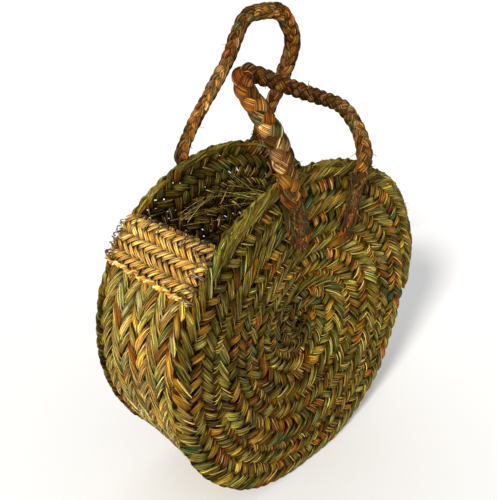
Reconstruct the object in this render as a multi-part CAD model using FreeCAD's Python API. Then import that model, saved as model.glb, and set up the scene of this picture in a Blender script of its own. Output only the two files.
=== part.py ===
import FreeCAD, Part
import math
import os
from FreeCAD import Vector

os.makedirs("parts", exist_ok=True)

# Round esparto market basket. Millimetres, +Z up, origin at the bottom centre.
# X runs across the round panels, Y runs through the basket's depth, front panel at -Y.

# ---- driving dimensions -------------------------------------------------------------
panel_r = 190.0            # radius of each round panel
bottom_flat = 4.0          # how much of the round bottom is pressed flat
axis_z = panel_r - bottom_flat
outer_y = 73.0             # outer faces of the two panels stand at +-outer_y
panel_t = 9.0              # thickness of the coiled plait
dish_depth = 24.0          # how far each panel's centre is pressed inwards
dish_r = 162.0             # radius where the dish starts
inner_y = outer_y - panel_t

side_outer_r = 190.0       # outer face of the side band
side_t = 7.5
side_inner_r = side_outer_r - side_t
side_end_deg = 46.0        # the side band stops this far from the top, on both sides
joint_gap = 0.2            # gap between plaits that are sewn edge to edge

flap_t = 5.7               # straw plait folded over each end of the side band
flap_low_deg = 61.0
flap_inner_deg = 54.0
flap_y = 71.5
corner_tie_y = 65.0        # twine ties beside each panel
corner_tie_deg = 3.3

coil_pitch = 51.5          # width of the plait coiled into each panel
coil_end_w = 14.0          # width left where the plait tapers out at the rim
coil_bump = 13.0           # how much faster the coil grows over its first three quarter turn
coil_turns = 3.1
coil_end_front_deg = -4.6
coil_end_back_deg = -60.0
cord_r = 0.9               # sewing cord
seam_lift = 0.5
stitch_length = 9.0
stitch_pitch = 22.0

foot_deg = 17.5            # half angle between the two feet of one handle
pivot_r = 191.5            # handles bend where they leave the rim
pivot_y = outer_y + 11.0
foot_r = 9.0               # rope radius at every foot
pivot_x = pivot_r * math.sin(math.radians(foot_deg))
pivot_z = axis_z + pivot_r * math.cos(math.radians(foot_deg))
front_lean_deg = 32.0      # both handles lean in over the mouth
back_lean_deg = 12.0

# Each arch: corner points in the plane of the loop (across, up), with the bend radius
# at each inner corner and the rope's radius at each corner.
front_arch = [
    # across, up, bend radius, rope radius
    (-pivot_x, 0.0, 0.0, foot_r),
    (-49.0, 48.0, 60.0, 11.8),
    (-76.0, 121.0, 15.0, 10.0),
    (62.0, 63.0, 26.0, 7.9),
    (71.0, 24.0, 34.0, 8.4),
    (pivot_x, 0.0, 0.0, 8.4),
]
back_arch = [
    (-pivot_x, 0.0, 0.0, foot_r),
    (-37.0, 45.5, 60.0, 7.4),
    (-1.5, 97.5, 100.0, 8.0),
    (17.0, 146.5, 28.0, 8.4),
    (73.0, 150.5, 30.0, 9.0),
    (105.0, 114.0, 30.0, 10.4),
    (pivot_x, 0.0, 0.0, 7.6),
]

# Tapering tails of the handles, sewn flat on the outer faces: start and end in the
# plane of the panel (across, up from the panel's centre), radius at the start and end.
front_tails = {
    "left": ((-52.0, 170.5), (-28.0, 118.0), 9.0, 4.5),
    "right": ((53.5, 171.0), (46.0, 106.0), 8.8, 4.0),
}
back_tails = {
    "left": ((-53.0, 171.0), (-43.0, 108.0), 8.3, 4.0),
    "right": ((53.0, 171.0), (43.0, 108.0), 8.3, 4.0),
}
tail_gap = 0.15            # between a tail and the panel it is sewn to
tail_sink = 6.5            # the tails follow the dish this far below the rim's face
tie_r = 0.9
tie_count = 5


# ---- helpers ------------------------------------------------------------------------
def save(name, shape):
    shape.exportStep("parts/" + name + ".step")


def half_space_above_floor():
    size = 600.0
    return Part.makeBox(size, size, size, Vector(-size / 2, -size / 2, 0))


def polar(radius, deg_from_top, y):
    """A point at an angle from the top, positive towards +X, round the panels' axis."""
    a = math.radians(deg_from_top)
    return Vector(radius * math.sin(a), y, axis_z + radius * math.cos(a))


def ring_sector(r_in, r_out, y_low, y_high, from_deg, to_deg):
    """Ring segment round the panels' axis; degrees are counted from the top towards +X."""
    corners = [(r_in, y_low), (r_out, y_low), (r_out, y_high), (r_in, y_high)]
    points = [polar(r, from_deg, y) for r, y in corners]
    face = Part.Face(Part.makePolygon(points + [points[0]]))
    return face.revolve(Vector(0, 0, axis_z), Vector(0, 1, 0), to_deg - from_deg)


def ring_cord(radius, y, from_deg, to_deg):
    centre = polar(radius, from_deg, y)
    a = math.radians(from_deg)
    along = Vector(math.cos(a), 0, -math.sin(a))
    disc = Part.Face(Part.Wire(Part.makeCircle(cord_r, centre, along)))
    return disc.revolve(Vector(0, 0, axis_z), Vector(0, 1, 0), to_deg - from_deg)


def staple(centre, across, outward, reach, thickness):
    """Half ring standing on a surface: one visible stitch, bridging along `across`."""
    start = centre + across * reach
    disc = Part.Face(Part.Wire(Part.makeCircle(thickness, start, outward)))
    axis = outward.cross(across)
    ring = disc.revolve(centre, axis, -180.0)
    return ring


# ---- round panels -------------------------------------------------------------------
def dish(radius):
    """How far a panel's face is pressed inwards at this radius: two tangent arcs."""
    if radius >= dish_r:
        return 0.0
    half = dish_r / 2.0
    big = (half * half + (dish_depth / 2.0) ** 2) / dish_depth
    if radius >= half:
        x = dish_r - radius
        return big - math.sqrt(big * big - x * x)
    return dish_depth - big + math.sqrt(big * big - radius * radius)


def panel(side):
    """Closed dished disc. side is -1 for the front panel and +1 for the back one."""
    half = dish_r / 2.0
    edge_r = panel_t / 2.0

    def at(radius, depth):
        return Vector(radius, side * (outer_y - depth), axis_z)

    def face_arcs(offset):
        return [
            Part.Arc(at(0, dish_depth + offset), at(half / 2, dish(half / 2) + offset),
                     at(half, dish_depth / 2 + offset)).toShape(),
            Part.Arc(at(half, dish_depth / 2 + offset), at(half * 1.5, dish(half * 1.5) + offset),
                     at(dish_r, offset)).toShape(),
        ]

    outer = face_arcs(0.0)
    inner = face_arcs(panel_t)
    outer.append(Part.makeLine(at(dish_r, 0), at(panel_r - edge_r, 0)))
    inner.append(Part.makeLine(at(dish_r, panel_t), at(panel_r - edge_r, panel_t)))
    rim = Part.Arc(at(panel_r - edge_r, 0), at(panel_r, edge_r),
                   at(panel_r - edge_r, panel_t)).toShape()
    middle = Part.makeLine(at(0, dish_depth), at(0, dish_depth + panel_t))
    wire = Part.Wire(Part.__sortEdges__(outer + [rim] + inner + [middle]))
    disc = Part.Face(wire).revolve(Vector(0, 0, axis_z), Vector(0, 1, 0), 360.0)
    return disc.common(half_space_above_floor())


def coil_inset(turn):
    """Distance of the coil's seam from the rim, this many turns back from its end."""
    part = turn - math.floor(turn)
    strength = max(0.0, 1.0 - 0.35 * math.floor(turn))
    bump = math.sin(math.pi * part / 0.75) if part < 0.75 else 0.0
    return coil_end_w + coil_pitch * turn + coil_bump * strength * bump


def seam_stitches(side, end_deg):
    """Short cord stitches along the coil's seam, on the panel's inner face."""
    solids = []
    turn = 0.1
    while turn < coil_turns:
        radius = panel_r - coil_inset(turn)
        angle = math.radians(end_deg - side * 360.0 * turn)
        depth = dish(radius) + panel_t + cord_r + seam_lift
        centre = Vector(radius * math.cos(angle), side * (outer_y - depth),
                        axis_z + radius * math.sin(angle))
        along = Vector(-math.sin(angle), 0, math.cos(angle))
        start = centre - along * (stitch_length / 2.0)
        solids.append(Part.makeCylinder(cord_r, stitch_length, start, along))
        turn += stitch_pitch / (2.0 * math.pi * radius)
    return Part.makeCompound(solids)


# ---- side band and its bindings -----------------------------------------------------
def side_plait(y_low, y_high):
    band = ring_sector(side_inner_r, side_outer_r, y_low, y_high,
                       side_end_deg, 360.0 - side_end_deg)
    return band.common(half_space_above_floor())


def binding(side):
    """Straw plait folded over one end of the side band: outer flap, fold, inner flap."""
    fold_deg = side_end_deg - 0.2
    flap_r = side_outer_r + 0.3
    inner_r = side_inner_r - 0.3
    fold_y = inner_y - joint_gap
    outer = ring_sector(flap_r, flap_r + flap_t, -flap_y, flap_y, fold_deg, flap_low_deg)
    inner = ring_sector(inner_r - flap_t, inner_r, -fold_y, fold_y, fold_deg, flap_inner_deg)
    middle_r = (flap_r + inner_r) / 2.0
    fold_r = (flap_r - inner_r) / 2.0 + flap_t
    axis_point = polar(middle_r, fold_deg, -fold_y)
    rod = Part.makeCylinder(fold_r, 2.0 * fold_y, axis_point, Vector(0, 1, 0))
    behind = ring_sector(middle_r - 30, middle_r + 30, -90, 90, fold_deg, fold_deg + 20)
    fold = rod.cut(behind)
    shape = outer.fuse([fold, inner]).removeSplitter()
    if side < 0:
        shape = shape.mirror(Vector(0, 0, 0), Vector(1, 0, 0))
    return shape


def binding_ties(side):
    """Twine ties on the outer flap: along the folded edge, and next to each panel."""
    surface_r = side_outer_r + 0.3 + flap_t

    def tie(deg, y, along_band, reach, lift):
        a = math.radians(deg)
        outward = Vector(math.sin(a), 0, math.cos(a))
        across = Vector(0, 1, 0) if along_band else Vector(math.cos(a), 0, -math.sin(a))
        return staple(polar(surface_r + lift, deg, y), across, outward, reach, tie_r)

    fold_ties = range(6)
    solids = [tie(side_end_deg + 1.3, -50.0 + 20.0 * k, False, 3.0, 0.25) for k in fold_ties]
    for y in (-corner_tie_y, corner_tie_y):
        solids += [tie(side_end_deg + 1.7 + corner_tie_deg * k, y, True, 4.5, 0.15) for k in range(4)]
    group = Part.makeCompound(solids)
    if side < 0:
        group = group.mirror(Vector(0, 0, 0), Vector(1, 0, 0))
    return group


# ---- handles ------------------------------------------------------------------------
def rope(corners, place):
    """Rounded rope along straight runs and tangent bends, thick or thin by corner."""
    points = [place(c[0], c[1]) for c in corners]
    bends = [c[2] for c in corners]
    radii = [c[3] for c in corners]
    count = len(points)
    starts = [points[0]]
    ends = []
    solids = []
    for i in range(1, count - 1):
        back = (points[i - 1] - points[i]).normalize()
        ahead = (points[i + 1] - points[i]).normalize()
        half = back.getAngle(ahead) / 2.0
        trim = bends[i] / math.tan(half)
        tangent_in = points[i] + back * trim
        tangent_out = points[i] + ahead * trim
        ends.append(tangent_in)
        starts.append(tangent_out)
        centre = points[i] + (back + ahead).normalize() * (bends[i] / math.sin(half))
        axis = back.cross(ahead).normalize()
        profile = Part.Face(Part.Wire(Part.makeCircle(radii[i], tangent_in, back * -1)))
        angle = 180.0 - math.degrees(2.0 * half)
        solids.append(profile.revolve(centre, axis * -1, angle))
    ends.append(points[-1])
    for i in range(count - 1):
        run = ends[i] - starts[i]
        direction = Vector(run).normalize()
        if abs(radii[i] - radii[i + 1]) < 1e-6:
            solid = Part.makeCylinder(radii[i], run.Length, starts[i], direction)
        else:
            solid = Part.makeCone(radii[i], radii[i + 1], run.Length, starts[i], direction)
        solids.append(solid)
    solids.append(Part.makeSphere(radii[0], points[0]))
    solids.append(Part.makeSphere(radii[-1], points[-1]))
    return solids[0].fuse(solids[1:]).removeSplitter()


def handle_arch(corners, side, lean_deg):
    lean = math.radians(lean_deg)

    def place(across, up):
        return Vector(across, side * (pivot_y - up * math.sin(lean)),
                      pivot_z + up * math.cos(lean))

    return rope(corners, place)


def tail_line(tail, side):
    (x1, z1), (x2, z2), _, _ = tail
    start = Vector(x1, side * outer_y, axis_z + z1)
    depth = dish(math.hypot(x2, z2))
    end = Vector(x2, side * (outer_y - depth), axis_z + z2)
    return start, end


def handle_tail(tail, side, panel_shape):
    """Tapering half-round tail lying on the panel's outer face."""
    start, end = tail_line(tail, side)
    run = end - start
    cone = Part.makeCone(tail[2], tail[3], run.Length, start, Vector(run).normalize())
    tip = Part.makeSphere(tail[3], end)
    whole = cone.fuse(tip).removeSplitter()
    size = 400.0
    near_y = outer_y - tail_sink
    low_y = near_y if side > 0 else -near_y - size
    outside = Part.makeBox(size, size, size, Vector(-size / 2.0, low_y, 0))
    grown = panel_shape.copy()
    grown.translate(Vector(0, side * tail_gap, 0))
    return whole.common(outside).cut(grown)


def tail_stitches(tail, side):
    """Cord stitches that hold one tail to the panel."""
    start, end = tail_line(tail, side)
    along = Vector(end - start).normalize()
    outward = Vector(0, side, 0)
    across = along.cross(outward).normalize()
    outward = across.cross(along).normalize()
    if outward.y * side < 0:
        outward = outward * -1
    solids = []
    for k in range(tie_count):
        t = (k + 0.6) / tie_count
        centre = start + (end - start) * t
        reach = tail[2] + (tail[3] - tail[2]) * t + tie_r + 0.45
        lift = 1.3 + 0.8 * t
        solids.append(staple(centre + outward * lift, across, outward, reach, tie_r))
    return Part.makeCompound(solids)


# ---- build every node ---------------------------------------------------------------
front_panel = panel(-1)
back_panel = panel(1)
save("front_panel", front_panel)
save("back_panel", back_panel)
save("front_panel_seam_stitches", seam_stitches(-1, coil_end_front_deg))
save("back_panel_seam_stitches", seam_stitches(1, coil_end_back_deg))

side_low_y = -(inner_y - joint_gap)
save("side_plait_front", side_plait(side_low_y, -joint_gap / 2.0))
save("side_plait_back", side_plait(joint_gap / 2.0, -side_low_y))
cord_ring_r = side_inner_r - cord_r - 0.2
cord_from_deg = flap_inner_deg + 1.0
corner_y = inner_y - cord_r - 0.2
save("side_seam_cord", ring_cord(cord_ring_r, 0.0, cord_from_deg, 360.0 - cord_from_deg))
save("front_edge_cord", ring_cord(cord_ring_r, -corner_y, cord_from_deg, 360.0 - cord_from_deg))
save("back_edge_cord", ring_cord(cord_ring_r, corner_y, cord_from_deg, 360.0 - cord_from_deg))

save("mouth_binding_right", binding(1))
save("mouth_binding_left", binding(-1))
save("mouth_ties_right", binding_ties(1))
save("mouth_ties_left", binding_ties(-1))

save("front_handle_arch", handle_arch(front_arch, -1, front_lean_deg))
save("back_handle_arch", handle_arch(back_arch, 1, back_lean_deg))
for label, tail in front_tails.items():
    save("front_handle_tail_" + label, handle_tail(tail, -1, front_panel))
    save("front_tail_stitches_" + label, tail_stitches(tail, -1))
for label, tail in back_tails.items():
    save("back_handle_tail_" + label, handle_tail(tail, 1, back_panel))
    save("back_tail_stitches_" + label, tail_stitches(tail, 1))
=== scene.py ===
import math

import bpy
import numpy as np
from mathutils import Matrix, Vector


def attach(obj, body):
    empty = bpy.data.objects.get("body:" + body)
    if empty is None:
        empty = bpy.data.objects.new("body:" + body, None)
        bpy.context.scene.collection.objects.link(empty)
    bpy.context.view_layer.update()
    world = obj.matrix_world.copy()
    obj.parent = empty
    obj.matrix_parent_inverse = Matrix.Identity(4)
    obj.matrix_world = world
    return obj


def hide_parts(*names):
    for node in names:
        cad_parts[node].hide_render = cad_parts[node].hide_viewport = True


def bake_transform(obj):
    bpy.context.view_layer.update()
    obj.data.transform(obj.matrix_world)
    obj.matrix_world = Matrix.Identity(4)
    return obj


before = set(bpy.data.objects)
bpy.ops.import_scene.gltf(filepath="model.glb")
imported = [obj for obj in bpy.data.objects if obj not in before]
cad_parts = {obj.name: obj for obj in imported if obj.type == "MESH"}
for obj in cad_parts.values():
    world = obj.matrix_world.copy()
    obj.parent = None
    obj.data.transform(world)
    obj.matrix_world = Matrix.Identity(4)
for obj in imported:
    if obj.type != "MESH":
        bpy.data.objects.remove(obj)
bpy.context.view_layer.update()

MM = 0.001
rng = np.random.default_rng(41)

# ---- sizes shared with the frame, in millimetres ----
AXIS_Z = 186.0          # height of the two round panels' centre
PANEL_R = 190.0
PANEL_FACE_Y = 73.0     # outer face of a panel at its rim
PANEL_T = 9.0
DISH_DEPTH = 24.0
DISH_R = 162.0
SIDE_R = 186.25         # middle of the side wall
SIDE_HALF_Y = 63.8
SIDE_END_DEG = 46.0     # from the top, where the side wall starts
SIDE_CORD_R = 181.4
BAND_W = 51.5
COIL_END_FRONT = -4.6
COIL_END_BACK = -60.0
PIVOT_X, PIVOT_Y, PIVOT_Z = 57.585, 84.0, 368.64


# ---- small helpers ----
def unit(v):
    return v / np.maximum(np.linalg.norm(v, axis=-1, keepdims=True), 1e-9)


def smooth(x):
    x = np.clip(x, 0.0, 1.0)
    return x * x * (3.0 - 2.0 * x)


def linear(*srgb):
    """A display colour, 0 to 255, as linear light."""
    c = np.array(srgb, float) / 255.0
    return np.where(c <= 0.04045, c / 12.92, ((c + 0.055) / 1.055) ** 2.4)


def peak(x, middle, width):
    return math.exp(-(((x - middle) / width) ** 2))


def running_sum(steps):
    return np.concatenate([[0], np.cumsum(steps)])


def distance_along(points):
    return running_sum(np.linalg.norm(np.diff(points, axis=0), axis=1))


def tangents(points):
    return unit(np.gradient(points, axis=0))


def interp_rows(at, knots, rows):
    """Each column of rows, given at the knots, read off at other places."""
    return np.stack([np.interp(at, knots, column) for column in rows.T], 1)


def runs(mask):
    """Start and stop of each unbroken run of True."""
    steps = np.diff(np.concatenate([[0], mask.astype(int), [0]]))
    return zip(np.flatnonzero(steps == 1), np.flatnonzero(steps == -1))


def wander(t, step, size):
    """Slow random drift along t: a few sines with random phases."""
    out = np.zeros_like(t)
    for k in range(1, 4):
        out += np.sin(t / step * k * 1.7 + rng.uniform(0, 2 * np.pi)) / k
    return out * size / 1.5


def rest_on_floor(z, low=2.6, ease=5.0):
    """The lowest coils are pressed flat by the floor."""
    return low + ease * np.logaddexp(0.0, (z - low) / ease)


def add_object(name, data, turn=None):
    obj = bpy.data.objects.new(name, data)
    bpy.context.scene.collection.objects.link(obj)
    if turn is not None:
        obj.rotation_mode = "QUATERNION"
        obj.rotation_quaternion = turn
    return obj


def new_material(name):
    """A node material, its tree and its shader."""
    mat = bpy.data.materials.new(name)
    mat.use_nodes = True
    return mat, mat.node_tree, mat.node_tree.nodes["Principled BSDF"]


# ---- mesh of many tubes ----
HUE_SPREAD = 0.3        # how much the blades differ in hue
HUE_SHIFT = np.array((0.3, 0.0, -0.9))
HUE_LIMITS = (-0.45, 0.6)
BLADE_RINGS = 7         # rings of a tube that share one blade's tone
# painted light: how much lighter the ridge of each blade is drawn
RIDGE_LIGHT = 1.18
LIGHT_WEIGHTS = np.array((0.3, 0.6, 0.1), np.float32)
MID_LIGHT = 0.13        # darker fibre than this is more saturated


def bundle_loop(blades, groove, flat=2.4):
    """Cross-section of a flat bundle of blades, and which of its points lie in a groove."""
    steps = 2 * blades
    x = np.linspace(-1, 1, steps + 1)
    lens = np.sqrt(np.maximum(1 - np.abs(x) ** flat, 0))
    dip = np.where(np.arange(steps + 1) % 2 == 0, 1 - groove, 1.0)
    top = np.stack([x, lens * dip], 1)
    low = np.stack([x[-2:0:-1], -(lens * dip)[-2:0:-1]], 1)
    return np.concatenate([top, low]), np.concatenate([dip, dip[-2:0:-1]]) < 1.0


def round_loop(points):
    """Cross-section of a plain round strand."""
    a = np.linspace(0, 2 * np.pi, points, endpoint=False)
    return np.stack([np.cos(a), np.sin(a)], 1), np.zeros(points, bool)


class Tubes:
    """Collects tubes, then makes one mesh object of them."""

    def __init__(self):
        self.points, self.quads, self.caps = [], [], []
        self.fibre, self.tint, self.count = [], [], 0

    def add(self, centre, normal, half_w, half_t, loop, tint, spin=None, painted_groove_shade=0.2,
            blade_spread=0.5):
        shape, valley = loop
        n, m = len(centre), len(shape)
        if n < 3:
            return
        along = tangents(centre)
        side = unit(np.cross(along, normal))
        up = np.cross(side, along)
        x, y = (np.broadcast_to(v, (n, m)) for v in shape.T)
        if spin is not None:
            c, s = np.cos(spin)[:, None], np.sin(spin)[:, None]
            x, y = x * c - y * s, x * s + y * c
        w, t = (np.asarray(v, float).reshape(-1, 1) for v in (half_w, half_t))
        ring = centre[:, None] + side[:, None] * (x * w)[..., None] + up[:, None] * (y * t)[..., None]
        ring[..., 2] = np.maximum(ring[..., 2], 0.0)
        base = self.count
        self.points.append(ring.reshape(-1, 3))
        i = np.arange(n - 1)[:, None] * m
        j = np.arange(m)[None, :]
        k = (j + 1) % m
        self.quads.append(np.stack([i + j, i + k, i + m + k, i + m + j], -1).reshape(-1, 4) + base)
        rim = np.arange(m) + base
        self.caps += [rim[::-1].tolist(), (rim + (n - 1) * m).tolist()]
        fibre = np.empty((n, m, 3))
        fibre[..., 0] = distance_along(centre)[:, None] + rng.uniform(0, 1000)
        fibre[..., 1] = shape[:, 0]
        fibre[..., 2] = rng.uniform(0, 40)
        self.fibre.append(fibre.reshape(-1, 3))
        # painted shade in the grooves between blades and along each strand's edges, painted light on the
        # ridges; the blades' own tones and hues vary at random
        shade = np.where(valley, painted_groove_shade, RIDGE_LIGHT) * (1 - 0.85 * np.abs(shape[:, 0]) ** 5)
        groups = (n // BLADE_RINGS + 1, m)
        blades = np.exp(rng.normal(0, blade_spread, groups))
        hue = np.clip(rng.normal(0, HUE_SPREAD, groups), *HUE_LIMITS)
        blades, hue = (np.repeat(v, BLADE_RINGS, axis=0)[:n] for v in (blades, hue))
        shade = (shade * blades)[..., None] * np.exp(hue[..., None] * HUE_SHIFT)
        tint = np.broadcast_to(np.asarray(tint, float).reshape(-1, 1, 3), (n, m, 3)) * shade
        self.tint.append(tint.reshape(-1, 3))
        self.count += n * m

    def build(self, name, material, slot, replaces=(), body="basket"):
        points = np.concatenate(self.points) * MM
        quads = np.concatenate(self.quads)
        mesh = bpy.data.meshes.new(name)
        cap_loops = [v for cap in self.caps for v in cap]
        loops = np.concatenate([quads.reshape(-1), np.array(cap_loops, int)])
        totals = np.concatenate([np.full(len(quads), 4), [len(c) for c in self.caps]]).astype(np.int32)
        starts = running_sum(totals[:-1]).astype(np.int32)
        mesh.vertices.add(len(points))
        mesh.vertices.foreach_set("co", points.astype(np.float32).reshape(-1))
        mesh.loops.add(len(loops))
        mesh.loops.foreach_set("vertex_index", loops.astype(np.int32))
        mesh.polygons.add(len(totals))
        mesh.polygons.foreach_set("loop_start", starts)
        mesh.polygons.foreach_set("use_smooth", np.ones(len(totals), bool))
        mesh.update(calc_edges=True)
        fibre = mesh.attributes.new("fibre", "FLOAT_VECTOR", "POINT")
        fibre.data.foreach_set("vector", np.concatenate(self.fibre).astype(np.float32).reshape(-1))
        tint = mesh.attributes.new("tint", "FLOAT_COLOR", "POINT")
        rgba = np.ones((len(points), 4), np.float32)
        rgba[:, :3] = np.clip(np.concatenate(self.tint), 0, 1)
        light = rgba[:, :3] @ LIGHT_WEIGHTS
        rgba[:, 2] *= np.clip((light / MID_LIGHT) ** 0.4, 0.2, 1.25)
        tint.data.foreach_set("color", rgba.reshape(-1))
        mesh.validate()
        obj = add_object(name, mesh)
        mesh.materials.append(material)
        if body:
            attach(obj, body)
        if replaces:
            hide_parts(*replaces)
        return obj


# ---- material ----
BLADE_STREAK = (0.035, 8.0, 13.7)   # how the noise is stretched along and across a tube
FINE_STREAK = (0.11, 27.0, 7.1)
PALE_STREAK = (0.022, 4.6, 3.3)
RUST_STREAK = (0.027, 5.3, 5.9)
BLOTCHES_PER_M = 34.0
SHEEN_TINT = (1.0, 0.84, 0.42, 1)
FINE_RELIEF = 0.45
RELIEF_DEPTH = 0.0011


def node(tree, kind, inputs, **settings):
    """A new shader node. An input given as another node's socket is linked to it."""
    made = tree.nodes.new(kind)
    for key, value in settings.items():
        setattr(made, key, value)
    for key, value in inputs.items():
        if isinstance(value, bpy.types.NodeSocket):
            tree.links.new(value, made.inputs[key])
        else:
            made.inputs[key].default_value = value
    return made


def straw(name, rough, pale, rust, ridge, gloss=0.3):
    """Dry plant fibre: streaks along each blade, pale and rusty blades, dust blotches."""
    mat, tree, shader = new_material(name)
    tint = node(tree, "ShaderNodeAttribute", {}, attribute_name="tint")
    fibre = node(tree, "ShaderNodeAttribute", {}, attribute_name="fibre")

    def streak(scale, detail):
        stretch = node(tree, "ShaderNodeVectorMath", {0: fibre.outputs["Vector"], 1: scale},
                       operation="MULTIPLY")
        return node(tree, "ShaderNodeTexNoise", {"Vector": stretch.outputs[0], "Scale": 1.0,
                                                 "Detail": detail, "Roughness": 0.6}).outputs["Fac"]

    def spread(value, low, high, to_low, to_high):
        return node(tree, "ShaderNodeMapRange", {"Value": value, "From Min": low, "From Max": high,
                                                 "To Min": to_low, "To Max": to_high}).outputs["Result"]

    def mix(kind, factor, a, b):
        return node(tree, "ShaderNodeMix", {0: factor, 6: a, 7: b}, data_type="RGBA",
                    blend_type=kind).outputs[2]

    def grey(value):
        return node(tree, "ShaderNodeCombineColor", {0: value, 1: value, 2: value}).outputs[0]

    blade = streak(BLADE_STREAK, 2.0)
    fine = streak(FINE_STREAK, 3.0)
    kind_pale = streak(PALE_STREAK, 1.0)
    kind_rust = streak(RUST_STREAK, 1.0)
    place = node(tree, "ShaderNodeTexCoord", {})
    blotch = node(tree, "ShaderNodeTexNoise", {"Vector": place.outputs["Object"],
                                               "Scale": BLOTCHES_PER_M, "Detail": 4.0}).outputs["Fac"]

    colour = mix("MIX", spread(kind_rust, 0.53, 0.66, 0.0, 0.62), tint.outputs["Color"], (*linear(*rust), 1))
    colour = mix("MIX", spread(kind_pale, 0.54, 0.68, 0.0, 0.5), colour, (*linear(*pale), 1))
    colour = mix("MULTIPLY", 1.0, colour, grey(spread(blade, 0.38, 0.62, 0.35, 1.75)))
    colour = mix("MULTIPLY", 1.0, colour, grey(spread(fine, 0.38, 0.62, 0.55, 1.5)))
    colour = mix("MULTIPLY", 1.0, colour, grey(spread(blotch, 0.32, 0.68, 0.72, 1.22)))
    shader.inputs["Specular IOR Level"].default_value = gloss
    shader.inputs["Specular Tint"].default_value = SHEEN_TINT
    relief = node(tree, "ShaderNodeMath", {0: fine, 1: FINE_RELIEF, 2: blade}, operation="MULTIPLY_ADD")
    bump = node(tree, "ShaderNodeBump", {"Strength": ridge, "Distance": RELIEF_DEPTH,
                                         "Height": relief.outputs[0]})
    tree.links.new(colour, shader.inputs["Base Color"])
    tree.links.new(spread(fine, 0.3, 0.7, rough - 0.14, rough + 0.16), shader.inputs["Roughness"])
    tree.links.new(bump.outputs["Normal"], shader.inputs["Normal"])
    return mat


OLIVE = linear(106, 96, 30)
MOSS = linear(74, 84, 38)
TEAL = linear(52, 80, 54)
LIME = linear(142, 130, 50)
GOLD = linear(174, 128, 28)
OCHRE = linear(142, 94, 18)
RUST = linear(132, 64, 8)
BROWN = linear(70, 44, 14)
SIDE_LIME = linear(152, 146, 58)
SIDE_GOLD = linear(198, 150, 44)
SIDE_OCHRE = linear(172, 112, 34)
PALE_GREEN = linear(178, 176, 98)
STRAW = linear(206, 148, 54)
SUN = linear(236, 186, 84)
ROPE_TAN = linear(146, 104, 48)
ROPE_OCHRE = linear(144, 90, 24)
ROPE_RUST = linear(124, 60, 12)
ROPE_BROWN = linear(80, 48, 16)
ROPE_MOSS = linear(82, 78, 46)
TWINE_GREY = linear(150, 126, 92)
TWINE_BROWN = linear(96, 78, 54)
CORD_BROWN = linear(92, 66, 28)

mat_panel = straw("panel_plait_straw", 0.55, (160, 142, 44), (120, 60, 4), 0.7, 0.12)
mat_side = straw("side_plait_straw", 0.55, (196, 180, 84), (150, 76, 10), 0.7, 0.18)
mat_binding = straw("binding_straw", 0.6, (255, 226, 134), (204, 118, 40), 0.7)
mat_rope = straw("handle_rope_fibre", 0.65, (164, 132, 80), (104, 46, 6), 0.9, 0.12)
mat_twine = straw("grey_twine", 0.8, (160, 144, 116), (84, 70, 54), 0.9)
mat_cord = straw("sewing_cord_fibre", 0.75, (134, 108, 50), (70, 46, 18), 0.9)

# ---- plaiting ----
STRAND_LOOP = bundle_loop(6, 0.5, 3.6)
SELVEDGE_LOOP = bundle_loop(5, 0.5, 3.0)
STRAY_LOOP = round_loop(5)
DRY_BLADE = linear(178, 152, 78)
GAP_SHADE = 0.04        # painted shade: how dark a strand is where it dives under the others
LOW_FOLD_SHADE, HIGH_FOLD_SHADE = 0.15, 0.6     # and in the middle of each fold
LOW_HUG, HIGH_HUG = 2.2, 3.2    # how far in from a fold its rounding reaches, in crossings
DEEP_SHADE = 0.12       # painted shade on inner faces low in the basket, which little light reaches
INNER_SHADE = 0.99      # and higher up
DEEP_Z, DEEP_FADE = 306.0, 66.0
DEEP_RED, RED_RISE = 0.7, 0.22  # inner faces are greener
INNER_BLUE = 1.25


def cut_lines(count, group):
    """Edges of the columns of floats, counted across the band, from edge to edge."""
    return [0.0, *[group * (i + 1) - 0.5 for i in range(count // group - 1)], float(count)]


def pass_samples(count):
    """Places along one crossing of the band, denser at the folds and the dives."""
    inner = np.arange(0.55, count - 0.5, 0.32)
    return np.concatenate([[0.0, 0.14, 0.32], inner, [count - 0.32, count - 0.14]])


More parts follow.
